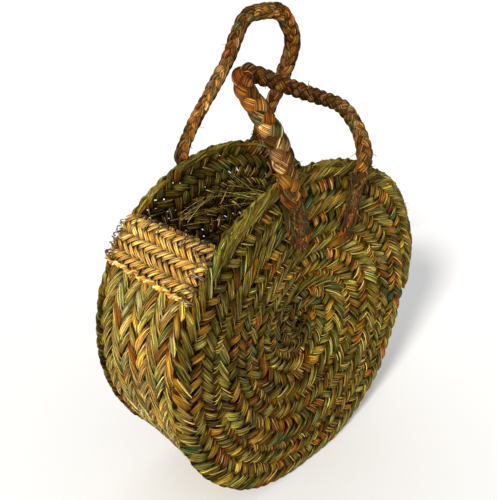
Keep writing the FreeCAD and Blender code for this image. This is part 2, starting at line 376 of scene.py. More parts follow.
def plait(count, group, long_to, place, colour, loop, strands, half_w, half_t, lift,
          low_fold=(1.1, 0.9), high_fold=(2.0, 1.88), sharp=0.42, spread=0.5):
    """Weaves count strands that run to and fro across a band in 'group' over, 'group' under.

    Lengths along the band and places across it are counted in crossings. place(p, k) gives
    centre, normal, scale, sink and keep for points p along and k across. Returns one Tubes
    for each list in strands.
    """
    edges = cut_lines(count, group)
    middles = [(a + b) / 2 for a, b in zip(edges, edges[1:])]
    hidden = sorted(middles[1::2] + [2 * count - c for c in middles[0::2]])
    one = pass_samples(count)
    period = np.concatenate([one, count + one])

    def strand(heap, m):
        """The whole zigzag of strand m along the band."""
        first = math.floor(-m / count) - 1
        last = math.ceil((long_to - 2 * m) / (2 * count)) + 1
        turns = np.arange(first, last)
        phi = np.tile(period, len(turns))
        p = (turns[:, None] * 2 * count + period + 2 * m).reshape(-1)
        inside = (p > 0.0) & (p < long_to)
        phi, p = phi[inside], p[inside]
        up = phi < count
        near = np.where(up, np.minimum(phi, count - phi), np.minimum(phi - count, 2 * count - phi))
        tri = np.where(up, phi, 2 * count - phi)
        is_low = tri < count / 2
        reach = np.where(is_low, low_fold[0], high_fold[0])
        shift = np.where(is_low, low_fold[1], high_fold[1])
        hug = np.where(is_low, LOW_HUG, HIGH_HUG)
        soft = np.sqrt(near**2 + reach**2) - near - shift * np.exp(-((near / hug) ** 2))
        k = tri + np.where(is_low, soft, -soft)
        level = np.ones_like(k)
        for c in edges[1:-1]:
            level *= np.tanh((c - tri) / sharp)
        dive = np.abs(level) ** 3
        facing = np.where(up, 1, -1)
        clear = np.tanh(near / 0.5)
        level *= facing * clear
        turn = np.exp(-((near / 0.7) ** 2))
        k = k + wander(p, 5.0, 0.15) * (1 - turn)
        jolt = wander(p, 2.6, 0.14)
        centre, normal, scale, sink, keep = place(p + wander(p, 6.0, 0.18), k)
        height = level * lift + jolt * lift - sink
        centre = centre + normal * height[:, None]
        marks = (turns[:, None] * 2 * count + np.array(hidden) + 2 * m).reshape(-1)
        middle = (marks[:-1] + marks[1:]) / 2
        middle = np.concatenate([[marks[0] - 2], middle, [marks[-1] + 2]])
        rising = (middle - 2 * m) % (2 * count) < count
        shades = np.array([colour(v, r) for v, r in zip(middle, rising)])
        knots = np.stack([marks - 0.4, marks + 0.4], 1).reshape(-1)
        values = np.stack([shades[:-1], shades[1:]], 1).reshape(-1, 3)
        tint = interp_rows(p, knots, values)
        # painted shade: the strand is drawn darker where it dives under the others and along the middle of
        # each fold
        fold = np.where(is_low, LOW_FOLD_SHADE, HIGH_FOLD_SHADE)
        dive = dive * (fold + (1 - fold) * clear)
        tint = tint * (GAP_SHADE + (1 - GAP_SHADE) * dive)[:, None]
        # painted shade: inner faces are drawn darker the lower they lie in the basket
        high = smooth((centre[:, 2] - DEEP_Z) / DEEP_FADE)
        depth_shade = DEEP_SHADE + (INNER_SHADE - DEEP_SHADE) * high
        inner = level < 0
        tint = tint * np.where(inner, depth_shade, 1.0)[:, None]
        tint[:, 0] *= np.where(inner, DEEP_RED + RED_RISE * high, 1.0)
        tint[:, 2] *= np.where(inner, INNER_BLUE, 1.0)
        fat = 1 + wander(p, 3.1, 0.12)
        w = half_w * scale * (1 - 0.14 * turn) * (0.97 - 0.08 * level) * fat
        t = half_t * (0.6 + 0.4 * scale)
        spin = np.pi / 2 * (1 - facing * np.tanh(near / 0.6)) + wander(p, 4.0, 0.12)
        for a, b in runs(keep):
            if b - a < 4:
                continue
            c = slice(a, b)
            taper = 0.35 + 0.65 * smooth((np.minimum(np.arange(b - a), np.arange(b - a)[::-1]) + 0.8) / 3.0)
            heap.add(centre[c], normal[c], w[c] * taper, t[c] * taper, loop, tint[c], spin[c],
                     blade_spread=spread)

    heaps = [Tubes() for _ in strands]
    for heap, members in zip(heaps, strands):
        for m in members:
            strand(heap, m)
    return heaps


def stray_blades(heap, number, count, group, length, place, colour, lift, half_w, face=1, wild=0.06):
    """Single blades that have worked loose from the floats and lie proud of them."""
    cuts = cut_lines(count, group)
    for _ in range(number):
        column = rng.integers(0, len(cuts) - 1)
        rising = (column % 2 == 0) == (face > 0)
        low, high = cuts[column], cuts[column + 1]
        span = (high - low) * rng.uniform(0.8, 1.35)
        mid = (low + high) / 2 + rng.normal(0, 0.2)
        t = np.linspace(-0.5, 0.5, 8)
        k = mid + (t if rising else -t) * span
        p = rng.uniform(0.5, length - 0.5) + t * span * (1 + rng.normal(0, wild))
        p = p + rng.normal(0, wild) * t * span
        k = np.clip(k, 0.05, count - 0.05)
        if p.min() < 0 or p.max() > length:
            continue
        centre, normal, scale, sink, keep = place(p, k)
        if not keep.all() or sink.max() > 0.5:
            continue
        rise = lift * (1 - (2 * t) ** 4) * rng.uniform(0.75, 1.0) - 0.6
        rise = rise + rng.uniform(0, 0.8) * (1 - (2 * t) ** 2)
        path = centre + normal * (rise * face)[:, None]
        w = half_w * rng.uniform(0.6, 1.15) * scale * (1 - 0.5 * (2 * t) ** 4)
        tone = (colour(float(p[4]), rising) * 0.7 + DRY_BLADE * 0.3) * rng.uniform(0.4, 2.0)
        heap.add(path, normal * face, w, w * 0.42, STRAY_LOOP, tone, spin=np.full(8, rng.normal(0, 0.25)))


def selvedge_core(heap, length, place, colour, half_w, edges):
    """Flat bundles that run along inside the plait's folded edges and fill them out."""
    for k in edges:
        p = np.arange(0.6, length - 0.6, 0.9)
        centre, normal, scale, sink, keep = place(p, np.full_like(p, k))
        knots = np.arange(0.0, length + 4.0, 4.0)
        # painted shade: the cores inside the folds are drawn at half brightness
        shades = np.array([colour(v, True) for v in knots]) * 0.5
        tint = interp_rows(p, knots, shades)
        for a, b in runs(keep & (sink < 0.5) & (scale > 0.62)):
            heap.add(centre[a:b] + normal[a:b] * wander(p[a:b], 3.0, 0.4)[:, None], normal[a:b],
                     half_w * scale[a:b], 1.2, SELVEDGE_LOOP, tint[a:b])


def pick(colours, weights):
    """One of the colours, by weight, made a little lighter or darker."""
    weights = np.array(weights, float)
    shade = colours[rng.choice(len(colours), p=weights / weights.sum())]
    return shade * rng.uniform(0.5, 1.5) * (1 + rng.normal(0, 0.05, 3))


# ---- round panels: one plait coiled and sewn edge to edge ----
def dish(r):
    """How far the panel is hollowed at a distance from its centre."""
    half = DISH_R / 2
    big = (half**2 + (DISH_DEPTH / 2) ** 2) / DISH_DEPTH
    r = np.minimum(r, DISH_R)
    outer = big - np.sqrt(big**2 - (DISH_R - r) ** 2)
    inner = DISH_DEPTH - big + np.sqrt(big**2 - np.minimum(r, half) ** 2)
    return np.where(r >= half, outer, inner)


def inset(u):
    """How far inside the rim the coil's inner edge runs, after u turns."""
    whole = np.floor(u)
    frac = u - whole
    bump = np.where(frac < 0.75, np.sin(np.pi * np.minimum(frac, 0.75) / 0.75), 0)
    return 14 + BAND_W * u + 13 * np.maximum(0, 1 - 0.35 * whole) * bump


def outline_dip(u):
    """How far the rim draws in just before the coil's outer end, in two steps."""
    return 3.0 * smooth((u - 0.80) / 0.06) + 7.5 * smooth((u - 0.885) / 0.055)


def outline_bulge(u):
    """The coil's outer end stands proud of the round outline."""
    return 6.5 * smooth((u - 0.02) / 0.035) * smooth((0.19 - u) / 0.05)


def panel_point(r, angle, side):
    """Middle of the panel's thickness, and its outward normal."""
    slope = dish(r + 0.5) - dish(r - 0.5)
    x, z = np.cos(angle), np.sin(angle)
    y = side * (PANEL_FACE_Y - PANEL_T / 2 - dish(r))
    point = np.stack([r * x, y, rest_on_floor(AXIS_Z + r * z)], 1)
    return point, unit(np.stack([slope * x, np.full_like(r, side), slope * z], 1))


SHEAR = 0.38            # strands that run outwards lie nearer the radius than the others
PANEL_STRANDS = 8
COIL_TURNS, COIL_SAMPLES = 4.08, 4081
EYE_TURN = 3.15         # the painted shade at the coil's middle starts here
OUTER_STRAYS, INNER_STRAYS = 1500, 500


def rim_blades(heap, number, p_from, p_to, place, colour):
    """Long blades that lie along the folded rim and cover the folds."""
    for _ in range(number):
        t = np.linspace(-1, 1, 10)
        p = rng.uniform(p_from, p_to) + rng.uniform(1.2, 2.3) * t
        core, normal, _, _, keep = place(p, np.full_like(p, 7.3))
        if not keep.all():
            continue
        out = unit((core - [0.0, 0.0, AXIS_Z]) * [1.0, 0.0, 1.0])
        phi = rng.uniform(-1.4, 1.4) + rng.normal(0, 0.35) * t
        face = out * np.cos(phi)[:, None] + normal * np.sin(phi)[:, None]
        rise = 4.0 + 1.5 * np.cos(phi) ** 2 + rng.uniform(-0.3, 0.4) - 2.4 * t**4
        tone = colour(float(p[5]), rng.uniform() < 0.35) * rng.uniform(0.7, 1.4)
        heap.add(core + face * rise[:, None], face, rng.uniform(1.4, 2.6) * (1 - 0.5 * t**4), 0.9,
                 bundle_loop(4, 0.45, 3.0), tone, spin=rng.normal(0, 0.15) + 0.2 * t)


def coil(side, end_deg, name):
    """One round panel: a plait along a spiral from the rim to the centre, u turns in."""
    full = BAND_W / PANEL_STRANDS
    u = np.linspace(0.0, COIL_TURNS, COIL_SAMPLES)
    r_in = np.maximum(PANEL_R - inset(u) - 1.1, 6.0)
    outline = PANEL_R - 0.4 - outline_dip(u) + outline_bulge(u)
    r_out = np.where(u < 1, outline, PANEL_R - inset(np.maximum(u - 1, 0)) + 1.3)
    width = r_out - r_in
    blend = smooth((u - 0.8) / 0.2)
    q = full * (1 - blend) + np.maximum(width / PANEL_STRANDS, 3.9) * blend
    r_ref = np.maximum(r_out - PANEL_STRANDS / 2 * q, 13.0)
    step = 2 * np.pi * r_ref / q
    along = running_sum((step[1:] + step[:-1]) / 2 * np.diff(u))
    total = along[-1]

    def turn_at(p):
        return np.interp(p, along, u)

    def along_at(turn):
        return float(np.interp(turn, u, along))

    def place(p, k):
        v = turn_at(p)
        high = 0.3 + 0.7 * smooth(1.2 * np.sin(np.radians(end_deg - side * 360 * v)) + 0.6)
        p = p - SHEAR * high * (1 - 0.85 * smooth((v - 1.1) / 1.1)) * (k - PANEL_STRANDS / 2)
        v = turn_at(p)
        ro, ri = np.interp(v, u, r_out), np.interp(v, u, r_in)
        qq, rr = np.interp(v, u, q), np.interp(v, u, r_ref)
        r = np.maximum(ro - (PANEL_STRANDS - k) * qq, 4.0)
        angle = np.radians(end_deg - side * 360 * v)
        point, normal = panel_point(r, angle, side)
        scale = np.clip(qq / full * np.clip(r / rr, 0.42, 1.2) ** 0.8, 0.3, 1.25)
        low = PANEL_STRANDS - (ro - ri) / qq
        room = k - low
        narrow = low > 0.35
        keep = (~narrow | (room > -0.5)) & (p > 0.0) & (p < total)
        sink = np.where(narrow, 3.2 * smooth((0.9 - room) / 1.4), 0)
        sink = sink + 2.5 * smooth((v - 3.85) / 0.23)
        return point, normal, scale, sink, keep

    def colour(p, rising):
        v = float(turn_at(np.clip(p, 0, total)))
        a = (end_deg - side * 360 * v) % 360
        east = (a + 180) % 360 - 180
        warm = 2.0 if rising else 0.6
        green = (1.0 + 1.6 * peak(a, 125, 45) * (v < 1)) * (0.7 if rising else 1.9)
        gold = 0.8 + 2.4 * peak(east, 32, 38) * (0.5 < v < 3)
        dark = 0.5 + 3.0 * (v < 0.06) + 9.0 * (3.3 < v)
        rust = 0.4 + 0.9 * peak(a, 235, 45)
        shade = pick((OLIVE, MOSS, TEAL, LIME, GOLD, OCHRE, RUST, BROWN),
                     (2.2 * green, 1.0 * green, dark * 0.7, 0.6 * green, gold * warm, 1.1 * gold * warm,
                      rust * warm, 0.5))
        # painted light: the panels are drawn lighter towards their +x side
        painted_side_light = 1.0 + 0.3 * peak(east, 22, 48)
        # painted shade: the coil's middle, deep in the dish, is drawn darker and more teal
        eye = smooth((v - EYE_TURN) / 0.3)
        return shade * 1.2 * painted_side_light * (1 - 0.72 * eye) + TEAL * 0.12 * eye

    strands = [[0, 1], [2, 3], [4, 5], [6, 7]]
    heaps = plait(PANEL_STRANDS, 2, total, place, colour, STRAND_LOOP, strands,
                  half_w=4.2, half_t=1.6, lift=2.4)
    for i, heap in enumerate(heaps):
        heap.build(f"{name}_plait_{i + 1}", mat_panel, "panel_plait", [name] if i == 0 else ())
    rim = Tubes()
    if side < 0:
        # broad green bundles folded over the rim left of the handle, then long thin ones
        for v in np.arange(0.313, 0.405, 0.0098):
            t = np.linspace(-1, 1, 12)
            p = along_at(v) + rng.uniform(1.7, 2.3) * t
            centre, normal, scale, _, _ = place(p, 7.25 - 0.72 * t)
            rise = 4.6 * (1 - np.maximum(t, -t * 1.15).clip(0, 1) ** 4) - 0.4
            tone = pick((LIME, OLIVE, MOSS), (2.0, 2.0, 1.0)) * 1.15
            rim.add(centre + normal * rise[:, None], normal, 3.9 * (1 - 0.45 * t**4),
                    1.5 * (1 - 0.5 * t**4), bundle_loop(6, 0.5, 3.0), tone, spin=0.25 * t)
        rim_blades(rim, 110, 0.5, along_at(0.40), place, colour)
        rim_blades(rim, 30, along_at(0.11), along_at(0.185), place,
                   lambda p, rising: pick((LIME, GOLD), (1.0, 1.0)) * 1.6)
    else:
        rim_blades(rim, 100, along_at(0.40), along_at(0.72), place, colour)
    rim.build(f"{name}_rim_blades", mat_panel, "panel_plait")
    stray = Tubes()
    selvedge_core(stray, total, place, colour, half_w=3.3, edges=(0.75, 7.2))
    for number, face in (OUTER_STRAYS, 1), (INNER_STRAYS, -1):
        stray_blades(stray, number, PANEL_STRANDS, 2, total, place, colour, 4.35, 0.75, face)
    stray.build(f"{name}_loose_blades", mat_panel, "panel_plait")


coil(-1, COIL_END_FRONT, "front_panel")
coil(1, COIL_END_BACK, "back_panel")


# ---- side wall: two plaits sewn side by side round the rims ----
def back_share(y):
    """0 at the wall's front edge, 1 at its back edge."""
    return np.clip(0.5 + y / (2 * SIDE_HALF_Y), 0, 1)


def side_dent(angle_deg, y):
    """The wall follows the dip in each panel's outline."""
    front = outline_dip(((angle_deg - COIL_END_FRONT) / 360) % 1.0)
    back = outline_dip(((COIL_END_BACK - angle_deg) / 360) % 1.0)
    share = back_share(y)
    return front * (1 - share) + back * share


SIDE_STRANDS = 12
SIDE_STEP = 9.4         # length of one crossing along the wall
SIDE_STRAYS = 1000


def side_wall(name, y_from, y_to, light):
    """One of the wall's two plaits, from end to end under the basket."""
    across = (y_to - y_from) / SIDE_STRANDS
    start = 90 - SIDE_END_DEG
    length = math.radians(360 - 2 * SIDE_END_DEG) * SIDE_R / SIDE_STEP

    def place(p, k):
        angle_deg = start - np.degrees(p * SIDE_STEP / SIDE_R)
        angle = np.radians(angle_deg)
        y = y_from + k * across
        edge = np.minimum(k, SIDE_STRANDS - k)
        share = back_share(y)
        r = SIDE_R - side_dent(angle_deg, y) * 0.94 + 0.5 * smooth(edge / 3)
        r = r - 8.0 * share * (1 - share)
        out = np.stack([np.cos(angle), np.zeros_like(angle), np.sin(angle)], 1)
        point = out * r[:, None]
        point[:, 1] = y
        point[:, 2] = rest_on_floor(point[:, 2] + AXIS_Z)
        one = np.ones_like(p)
        return point, out, one, 0 * one, one > 0

    def colour(p, rising):
        return pick((SIDE_LIME, OLIVE, MOSS, SIDE_GOLD, SIDE_OCHRE, RUST, SUN, PALE_GREEN),
                    (2.0, 1.6, 0.9, 1.4, 1.3, 1.0, 0.25, 0.8)) * light

    strands = [[0, 1, 2, 3], [4, 5, 6, 7], [8, 9, 10, 11]]
    heaps = plait(SIDE_STRANDS, 3, length, place, colour, STRAND_LOOP, strands,
                  half_w=4.2, half_t=1.5, lift=2.1)
    for i, heap in enumerate(heaps):
        heap.build(f"{name}_{i + 1}", mat_side, "side_plait", [name] if i == 0 else ())
    stray = Tubes()
    selvedge_core(stray, length, place, colour, half_w=3.0, edges=(0.8, 11.2))
    stray_blades(stray, SIDE_STRAYS, SIDE_STRANDS, 3, length, place, colour,
                 lift=3.8, half_w=0.75, wild=0.12)
    stray.build(f"{name}_loose_blades", mat_side, "side_plait")


# the last number is painted light: the front plait is drawn a little lighter, the back one darker
side_wall("side_plait_front", -SIDE_HALF_Y, -0.4, 1.02)
side_wall("side_plait_back", 0.4, SIDE_HALF_Y, 0.92)


# ---- twisted cord ----
CORD_R = 0.9
CORD_LOOP = round_loop(6)


def twisted(heap, points, normal, radius, tones, plies=2, lay=4.2, slack=0.0, step=0.9):
    """A cord of twisted plies along a line of points."""
    points = np.array(points, float)
    dist = distance_along(points)
    at = np.linspace(0, dist[-1], max(int(dist[-1] / step), 5))
    line = interp_rows(at, dist, points)
    up = interp_rows(at, dist, np.broadcast_to(np.asarray(normal, float), points.shape))
    along = tangents(line)
    side = unit(np.cross(along, up))
    up = np.cross(side, along)
    line = line + up * wander(at, 9.0, slack)[:, None] + side * wander(at, 7.0, slack * 2)[:, None]
    start = rng.uniform(0, 2 * np.pi)
    for ply in range(plies):
        turn = start + at / lay * 2 * np.pi + 2 * np.pi * ply / plies
        path = line + (side * np.cos(turn)[:, None] + up * np.sin(turn)[:, None]) * (radius * 0.46)
        tone = tones[rng.integers(0, len(tones))] * rng.uniform(0.75, 1.25)
        # painted shade: each ply is drawn darker where it turns under the cord, lighter on top
        lit = 0.3 + 0.7 * smooth(0.5 + 0.6 * np.sin(turn))
        heap.add(path, up, radius * 0.56, radius * 0.56, CORD_LOOP, tone * lit[:, None])


# ---- mouth bindings: straw plait folded over each end of the side wall ----
FLAP_OUT_R, FLAP_IN_R = 193.2, 179.35
FOLD_DEG = 45.8
FLAP_LOW_DEG, FLAP_IN_DEG = 61.0, 54.0
FLAP_Y = 71.5


def fold_line(v, hand):
    """A place across the folded band, v from its outer lower edge, with its normal."""
    fold_r = (FLAP_OUT_R - FLAP_IN_R) / 2
    outer_len = math.radians(FLAP_LOW_DEG - FOLD_DEG) * FLAP_OUT_R
    fold_len = math.pi * fold_r
    deg = np.where(v < outer_len, FLAP_LOW_DEG - np.degrees(v / FLAP_OUT_R), FOLD_DEG)
    inner = v - outer_len - fold_len
    deg = np.where(inner > 0, FOLD_DEG + np.degrees(inner / FLAP_IN_R), deg)
    bend = np.clip((v - outer_len) / fold_len, 0, 1) * np.pi
    a = np.radians(deg)
    out = np.stack([hand * np.sin(a), 0 * a, np.cos(a)], 1)
    back = np.stack([-hand * np.cos(a), 0 * a, np.sin(a)], 1)
    mid_r = (FLAP_OUT_R + FLAP_IN_R) / 2
    normal = out * np.cos(bend)[:, None] + back * np.sin(bend)[:, None]
    point = out * mid_r + normal * fold_r
    point[:, 2] += AXIS_Z
    return point, normal, bend / np.pi


FLAP_OUT_V, FOLD_V, FLAP_IN_V = 51.3, 21.8, 24.0     # outer flap, fold and inner flap, across
BINDING_STRANDS = 30
BINDING_STEP = 5.1
BINDING_STRAYS = 160
BINDING_LOOP = bundle_loop(2, 0.5, 3.0)


def binding(hand, label):
    """One folded straw plait and the rolled chain along its lower edge."""
    across = (FLAP_OUT_V + FOLD_V + FLAP_IN_V) / BINDING_STRANDS
    length = 2 * FLAP_Y / BINDING_STEP

    def place(p, k):
        point, normal, inside = fold_line(k * across, hand)
        point[:, 1] = (p * BINDING_STEP - FLAP_Y) * (1 - 0.11 * inside)
        one = np.ones_like(p)
        keep = k > 1.4 + 0.5 * np.sin(p * 2.3) + 0.45 * np.sin(p * 5.1)
        flare = 2.2 * smooth((3.5 - k) / 3.0) * (0.5 + 0.5 * np.sin(p * 3.7))
        return point, normal, one, -flare, keep

    def colour(p, rising):
        return (0.5 * STRAW + 0.5 * pick((STRAW, SUN, SIDE_OCHRE), (3.0, 2.6, 0.8))) * 1.35

    heap = plait(BINDING_STRANDS, 3, length, place, colour, BINDING_LOOP, [range(BINDING_STRANDS)],
                 half_w=2.6, half_t=1.2, lift=1.6, low_fold=(1.0, 0.8), high_fold=(1.0, 0.8),
                 sharp=0.5, spread=0.3)[0]
    stray_blades(heap, BINDING_STRAYS, BINDING_STRANDS, 3, length, place, colour,
                 lift=2.7, half_w=0.6, wild=0.1)
    p = np.linspace(0.3, length - 0.3, 60)
    edge, normal, _, _, _ = place(p, 1.3 + 0.25 * np.sin(p * 1.9))
    twisted(heap, edge + normal * 1.2, normal, 2.7, (STRAW * 1.3, SIDE_OCHRE, SUN), plies=3,
            lay=15.0, slack=0.7)
    name = f"mouth_binding_{label}"
    heap.build(name, mat_binding, "straw_binding", [name])


binding(1, "right")
binding(-1, "left")


# ---- handles: three-strand braided ropes ----
ROPE_STRANDS = 3
ROPE_LOOP = bundle_loop(9, 0.22)
PLAIT_PITCH = 3.5       # length of one full crossing, in rope radii
WARMTH = np.array((1.12, 0.90, 0.60))   # from greyish tan to rust
ROPE_COLOURS = (ROPE_OCHRE, ROPE_RUST, ROPE_BROWN, ROPE_TAN, ROPE_MOSS)
ROPE_WEIGHTS = (1.5, 1.3, 1.5, 1.8, 0.9)
HAIRS = 130
TAIL_HAIRS = 0.6        # share of them that is drawn near the two tails
TAIL_LENGTH = 62


def curve_through(controls, step=1.6):
    """Smooth line near the control points (x, y, z, radius), evenly spaced."""
    c = np.array(controls, float)
    c = np.concatenate([c[:1], c, c[-1:]])
    t = np.linspace(0, 1, 24, endpoint=False)[:, None]
    parts = [0.5 * (1 - t) ** 2 * a + (0.5 + t - t * t) * b + 0.5 * t * t * d
             for a, b, d in zip(c, c[1:], c[2:])]
    line = np.concatenate(parts + [c[-1:]])
    gap = np.linalg.norm(np.diff(line[:, :3], axis=0), axis=1)
    line = line[np.concatenate([[True], gap > 1e-6])]
    dist = distance_along(line[:, :3])
    at = np.linspace(0, dist[-1], int(dist[-1] / step))
    return interp_rows(at, dist, line), at


def arch_point(side, lean_deg, across, up):
    """A point in a handle's leaning plane; up is from its feet."""
    lean = math.radians(lean_deg)
    return across, side * (PIVOT_Y - up * math.sin(lean)), PIVOT_Z + up * math.cos(lean)


def on_panel(side, x, up, lift):
    """A point on a panel's outer face, 'lift' proud of it; up is from the panel's centre."""
    r = math.hypot(x, up)
    return x, side * (PANEL_FACE_Y - float(dish(np.array(r))) + lift), AXIS_Z + up


def rope(side, controls, painted_light_and_warmth):
    """A three-strand plait along the control points.

    The last argument holds shares of the length, the painted light and shade there as a brightness, and the
    warmth there.
    """
    line, at = curve_through(controls)
    centre, radius = line[:, :3], line[:, 3]
    along = tangents(centre)
    turned = smooth((np.minimum(at, at[-1] - at) - 50.0) / 60.0) * side     # twists at its feet
    faces = np.stack([turned, np.full_like(at, side), -0.25 * turned], 1)
    depth = unit(np.cross(np.cross(along, faces), along))
    across = np.cross(along, depth)
    pitch = PLAIT_PITCH * (radius[1:] + radius[:-1]) / 2
    phase = running_sum(np.diff(at) / pitch) * 2 * np.pi
    share = at / at[-1]
    heap = Tubes()
    ends = smooth(np.minimum(at, at[-1] - at) / 46.0)
    for s in range(ROPE_STRANDS):
        t = phase + 2 * np.pi * s / ROPE_STRANDS
        shift = across * (np.sin(t) * radius * 0.46 * (0.5 + 0.5 * ends))[:, None]
        rise = depth * (np.sin(2 * t) * radius * 0.33 * (0.4 + 0.6 * ends))[:, None]
        path = centre + shift + rise + across * wander(at, 16.0, 0.35)[:, None]
        facing = unit(depth + across * (np.sin(t) * 0.75)[:, None])
        seg = np.arange(0, at[-1] + 60, 26.0)
        shades = np.array([pick(ROPE_COLOURS, ROPE_WEIGHTS) for _ in seg])
        tint = interp_rows(at, seg, shades)
        fat = 1 + wander(at, 12.0, 0.08)
        # painted shade where the strands cross under each other, and painted light and shade along the rope
        crossing = 0.25 + 0.75 * np.abs(np.sin(2 * t)) ** 0.9
        shade = crossing * np.interp(share, painted_light_and_warmth[0], painted_light_and_warmth[1])
        tint = tint * WARMTH ** np.interp(share, painted_light_and_warmth[0], painted_light_and_warmth[2])[:, None]
        heap.add(path, facing, radius * 0.62 * fat, radius * 0.37 * fat, ROPE_LOOP,
                 tint * shade[:, None], wander(at, 20.0, 0.2), painted_groove_shade=0.22, blade_spread=0.6)
    return heap, centre, radius, along, depth, across, at


def loose(heap, start, direction, length, bend, thick, tint, facing=(0, 0, 1), count=9):
    """One stray blade: a thin tapering strip that curves away."""
    t = np.linspace(0, 1, count)[:, None]
    start, direction, bend = np.array(start), unit(np.array(direction)), np.array(bend)
    path = start + direction * length * t + bend * t * t
    width = thick * (1 - 0.75 * t[:, 0])
    heap.add(path, facing, width, width * 0.45, STRAY_LOOP, tint)


def handle(name, side, lean, arch, left_tail, right_tail, painted_light_and_warmth):
    """A rope whose two tails lie on the panel and whose arch leans over the mouth."""
    left, right = [[(*on_panel(side, x, up, lift), r) for x, up, lift, r in tail]
                   for tail in (left_tail, right_tail)]
    middle = [(*arch_point(side, lean, x, up), r) for x, up, r in arch]
    heap, centre, radius, along, depth, across, at = rope(side, left + middle + right[::-1], painted_light_and_warmth)
    # stray fibres hugging the rope, more of them on the two tails
    for _ in range(HAIRS):
        if rng.uniform() < TAIL_HAIRS:
            d = abs(rng.normal(0, 40.0))
            d = d if rng.uniform() < 0.5 else at[-1] - d
        else:
            d = rng.uniform(0, at[-1])
        i = int(np.clip(np.searchsorted(at, d), 2, len(at) - 3))
        tail = min(d, at[-1] - d) < TAIL_LENGTH
        a = rng.uniform(0, np.pi * (1 if tail else 2))
        out = across[i] * math.cos(a) + depth[i] * math.sin(a)
        way = along[i] * rng.choice([-1, 1]) + across[i] * rng.normal(0, 0.45) + out * rng.uniform(0.0, 0.4)
        if tail:
            way = along[i] * (-1 if d < at[-1] / 2 else 1) + across[i] * rng.normal(0, 0.5)
            way = way + depth[i] * rng.uniform(-0.05, 0.12)
        start = centre[i] + out * radius[i] * (0.75 if tail else 0.9)
        length = rng.uniform(10, 24) if tail else rng.uniform(2, 5)
        bend = out * rng.uniform(-4, 5) + across[i] * rng.normal(0, 3)
        if tail:
            bend = across[i] * rng.normal(0, 4) - depth[i] * rng.uniform(0, 2.5)
        loose(heap, start, way, length, bend, rng.uniform(0.35, 0.8), pick(ROPE_COLOURS, ROPE_WEIGHTS),
              depth[i])
    nodes = [f"{name}_arch", f"{name}_tail_left", f"{name}_tail_right"]
    obj = heap.build(f"{name}_rope", mat_rope, "handle_rope", nodes, body=None)
    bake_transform(obj)


handle(
    "front_handle", -1, 32.0,
    [(-PIVOT_X, 0, 9.8), (-54, 24, 11.0), (-52.5, 46, 11.8), (-61.5, 81.8, 11.0), (-66.5, 97, 10.4),
     (-62.5, 108.5, 9.8), (-51, 110.5, 9.4), (-30, 101.7, 8.8), (20, 80.5, 8.2), (48, 69, 7.9),
     (60.5, 60, 7.9), (66, 46, 8.2), (67.3, 26, 8.4), (PIVOT_X, 0, 8.6)],
    [(-27, 112, 1.5, 4.0), (-38, 140, 3.0, 7.0), (-52, 168, 6.0, 9.5)],
    [(45, 101, 1.5, 3.6), (49, 138, 3.0, 6.4), (54, 168, 6.0, 8.6)],
    # shares of the length, the painted light and shade there, and the warmth there
    ([0.0, 0.1, 0.18, 0.26, 0.33, 0.39, 0.44, 0.52, 0.6, 0.7, 0.8, 0.9, 1.0],
     [0.5, 0.6, 1.25, 1.25, 1.15, 0.7, 0.4, 0.34, 0.45, 0.8, 1.1, 0.7, 0.5],
     [0.8, 0.7, -0.7, -0.5, 0.5, 0.7, 0.3, 0.2, -0.4, -0.9, -0.3, -0.4, 0.5]),
)
handle(
    "back_handle", 1, 12.0,
    [(-PIVOT_X, 0, 8.6), (-50, 16, 7.6), (-36, 45, 7.3), (-16, 74, 7.8), (-1, 98, 8.0), (8, 124, 8.2),
     (18, 145, 8.4), (36, 149, 8.7), (68, 151, 9.0), (84, 140, 9.8), (104, 115, 10.4), (86, 62, 9.4),
     (PIVOT_X, 0, 8.0)],
    [(-42, 102, 1.5, 3.6), (-48, 138, 3.0, 6.4), (-54, 168, 6.0, 8.4)],
    [(42, 102, 1.5, 3.6), (48, 138, 3.0, 6.4), (54, 168, 6.0, 8.4)],
    # shares of the length, the painted light and shade there, and the warmth there
    ([0.0, 0.1, 0.25, 0.35, 0.5, 0.6, 0.7, 1.0], [0.8, 0.8, 1.3, 1.35, 1.1, 0.8, 0.7, 0.7],
     [0.9, 0.9, 0.4, -0.7, -0.6, 0.7, 1.0, 1.0]),
)


# ---- sewing cord and twine ----
STITCH_PITCH = 22.0
SEAM_FROM, SEAM_TO = 0.1, 3.1       # turns of the coil that show a stitched seam
EDGE_CORD_Y = 62.9


def seam_stitches(side, end_deg, name):
    """Short cord stitches along the coil's seam, on the panel's inner face."""
    heap = Tubes()
    turn = SEAM_FROM
    while turn < SEAM_TO:
        r = PANEL_R - float(inset(np.array(turn)))
        a = math.radians(end_deg - side * 360 * turn)
        out = np.array([math.cos(a), 0, math.sin(a)])
        run = np.array([-math.sin(a), 0, math.cos(a)])
        depth = float(dish(np.array(r))) + PANEL_T + CORD_R + 0.5
        t = np.linspace(-1, 1, 9)
        lean = rng.normal(0, 1.2)
        points = [out * (r + lean * v) + run * (v * 4.6)
                  + [0, side * (PANEL_FACE_Y - depth + 2.6 * v**4), AXIS_Z] for v in t]
        twisted(heap, points, (0, -side, 0), CORD_R, (CORD_BROWN, OLIVE), step=0.8)
        turn += STITCH_PITCH / (2 * math.pi * r)
    heap.build(name, mat_cord, "sewing_cord", [name])


seam_stitches(-1, COIL_END_FRONT, "front_panel_seam_stitches")
seam_stitches(1, COIL_END_BACK, "back_panel_seam_stitches")


